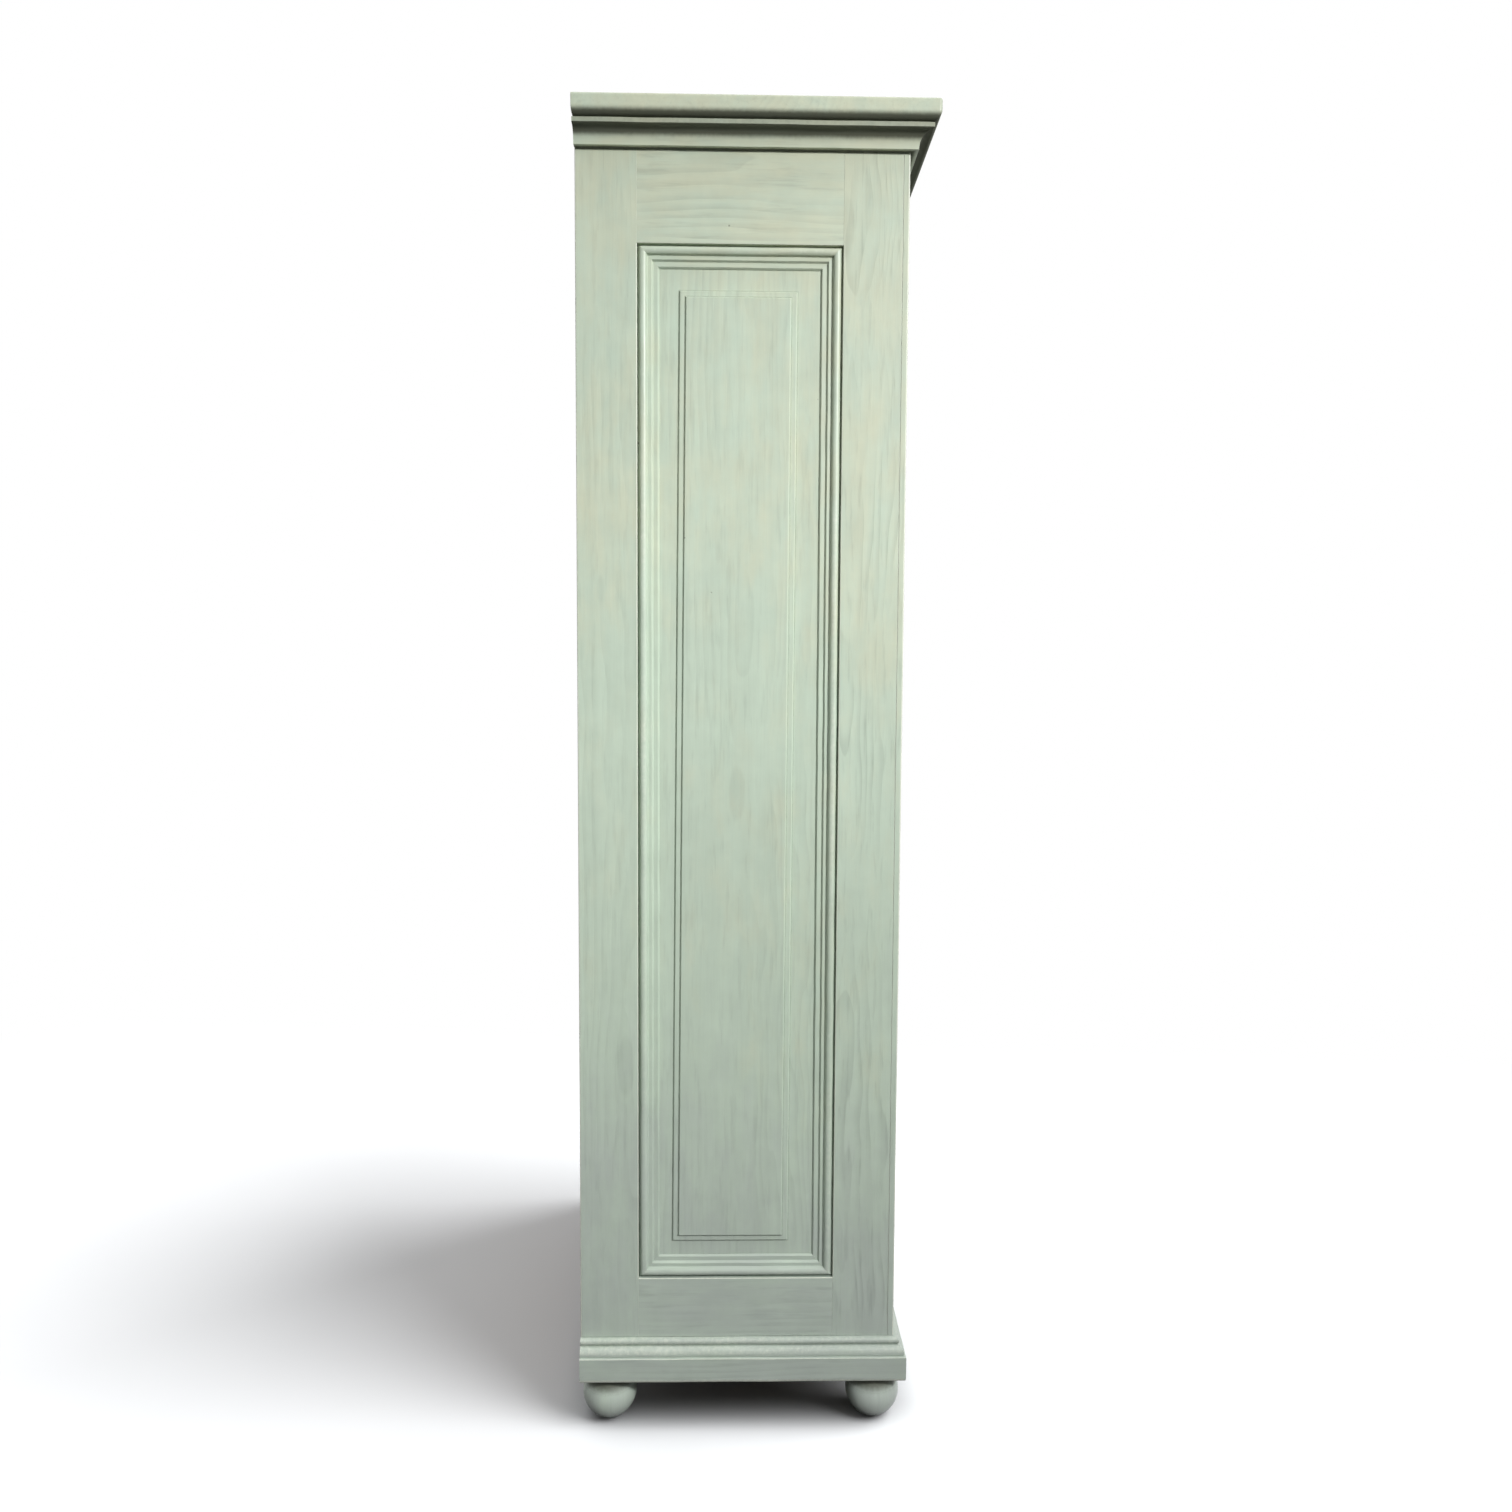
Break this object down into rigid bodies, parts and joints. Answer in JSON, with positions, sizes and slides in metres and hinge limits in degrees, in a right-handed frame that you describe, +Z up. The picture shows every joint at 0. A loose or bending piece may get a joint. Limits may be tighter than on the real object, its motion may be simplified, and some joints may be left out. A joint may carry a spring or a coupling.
{
  "type": "narrow wardrobe",
  "caption": "Narrow painted pine wardrobe with framed panelled sides, beaded mouldings, cornice, plinth and ball feet, and a hinged locking door over a hanging rail and hat shelf.",
  "frame": {"origin": "on the floor, under the middle of the wardrobe's bounding box", "axes": "+Z up, +Y towards the wall behind the wardrobe, so the door faces -Y, and +X to the right as seen from the front"},
  "size_m": [0.837, 0.5184, 1.957],
  "materials": {
    "sage_paint": "brushed sage green paint on pine, satin, a little worn",
    "bare_pine": "bare waxed pine",
    "old_brass": "dulled brass",
    "dark_iron": "dark oiled iron"
  },
  "bodies": {
    "carcass": {"foot_front_left": "sage_paint", "foot_front_right": "sage_paint", "foot_rear_left": "sage_paint", "foot_rear_right": "sage_paint", "plinth_front": "sage_paint", "plinth_left": "sage_paint", "plinth_right": "sage_paint", "plinth_back": "bare_pine", "base_bearer_left": "bare_pine", "base_bearer_right": "bare_pine", "floor_board_1": "bare_pine", "floor_board_2": "bare_pine", "floor_board_3": "bare_pine", "top_board": "sage_paint", "cornice_front": "sage_paint", "cornice_left": "sage_paint", "cornice_right": "sage_paint", "left_side_rear_stile": "sage_paint", "left_side_front_stile": "sage_paint", "left_side_top_rail": "sage_paint", "left_side_bottom_rail": "sage_paint", "left_side_panel": "sage_paint", "left_side_moulding": "sage_paint", "right_side_rear_stile": "sage_paint", "right_side_front_stile": "sage_paint", "right_side_top_rail": "sage_paint", "right_side_bottom_rail": "sage_paint", "right_side_panel": "sage_paint", "right_side_moulding": "sage_paint", "face_stile_left": "sage_paint", "face_stile_right": "sage_paint", "face_top_rail": "sage_paint", "face_bottom_rail": "sage_paint", "door_stop_top": "bare_pine", "door_stop_bottom": "bare_pine", "back_board_1": "bare_pine", "back_board_2": "bare_pine", "back_board_3": "bare_pine", "back_board_4": "bare_pine", "hat_shelf": "bare_pine", "shelf_cleat_left": "bare_pine", "shelf_cleat_right": "bare_pine", "hanging_rail": "bare_pine", "rail_support_left": "bare_pine", "rail_support_right": "bare_pine", "hinge_lower_frame_half": "dark_iron", "hinge_upper_frame_half": "dark_iron", "lock_keeper": "dark_iron"},
    "door": {"door_hinge_stile": "sage_paint", "door_lock_stile": "sage_paint", "door_top_rail": "sage_paint", "door_bottom_rail": "sage_paint", "door_panel": "sage_paint", "door_moulding": "sage_paint", "hinge_lower_door_half": "dark_iron", "hinge_upper_door_half": "dark_iron", "lock_case": "dark_iron", "keyhole_rim": "old_brass"},
    "key": {"key": "dark_iron"},
    "bolt": {"lock_bolt": "dark_iron"}
  },
  "joints": [
    {"name": "door_swing", "type": "hinge", "parent": "carcass", "child": "door", "pos_m": [-0.2837, -0.22635, 1], "axis": [0, 0, -1], "range_deg": [0, 170]},
    {"name": "key_turn", "type": "hinge", "parent": "door", "child": "key", "pos_m": [0.2444, -0.22075, 1.0056], "axis": [0, 1, 0], "range_deg": [0, 360]},
    {"name": "bolt_throw", "type": "slide", "parent": "door", "child": "bolt", "axis": [1, 0, 0], "range_m": [0, 0.014]}
  ],
  "couplings": [
    {"joint": "key_turn", "follows": "bolt_throw", "rad_per_m": 448.79}
  ]
}
